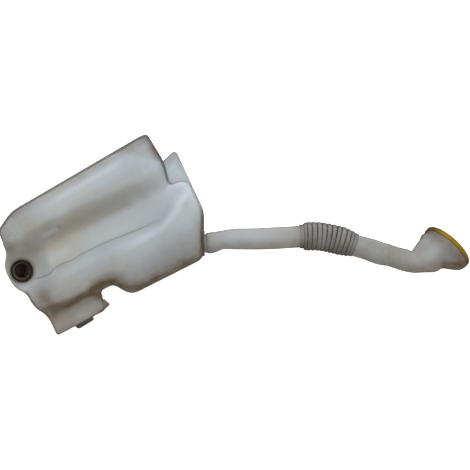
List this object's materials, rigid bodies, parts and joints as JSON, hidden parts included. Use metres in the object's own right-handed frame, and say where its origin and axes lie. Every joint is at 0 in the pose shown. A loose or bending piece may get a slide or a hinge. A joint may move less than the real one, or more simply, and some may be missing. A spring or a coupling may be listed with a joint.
{
  "type": "washer fluid reservoir",
  "caption": "Blow-moulded washer fluid tank with a pump grommet, a bellows filler neck, an elbowed bell mouth and a yellow push-on cap.",
  "frame": {"origin": "centre of the tank's flat back face", "axes": "+Z from the back towards the front face, +X along the filler neck, +Y across it towards the tank's mounting tongue"},
  "size_m": [0.6124, 0.2602, 0.119],
  "materials": {
    "tank": "milky, aged, satin",
    "grommet_rubber": "dull",
    "seal_rubber": "dull",
    "neck": "milky, aged, satin",
    "bellows": "dull, soiled",
    "cap": "aged, satin"
  },
  "bodies": {
    "reservoir": {"tank": "tank", "pump_grommet": "grommet_rubber", "neck_seal": "seal_rubber", "lower_neck": "neck", "bellows_sleeve": "bellows"},
    "swinging_neck": {"upper_neck": "neck"},
    "cap": {"filler_cap": "cap"}
  },
  "joints": [
    {"name": "neck_flex", "type": "hinge", "parent": "reservoir", "child": "swinging_neck", "pos_m": [0.2914, 0.001, 0.054], "axis": [0, 0, 1], "range_deg": [-20, 20], "stiffness_Nm_per_rad": 0.6, "deforming": ["bellows_sleeve"]},
    {"name": "cap_pull", "type": "slide", "parent": "swinging_neck", "child": "cap", "axis": [0.6288, 0.6983, -0.342], "range_m": [0, 0.02]}
  ]
}
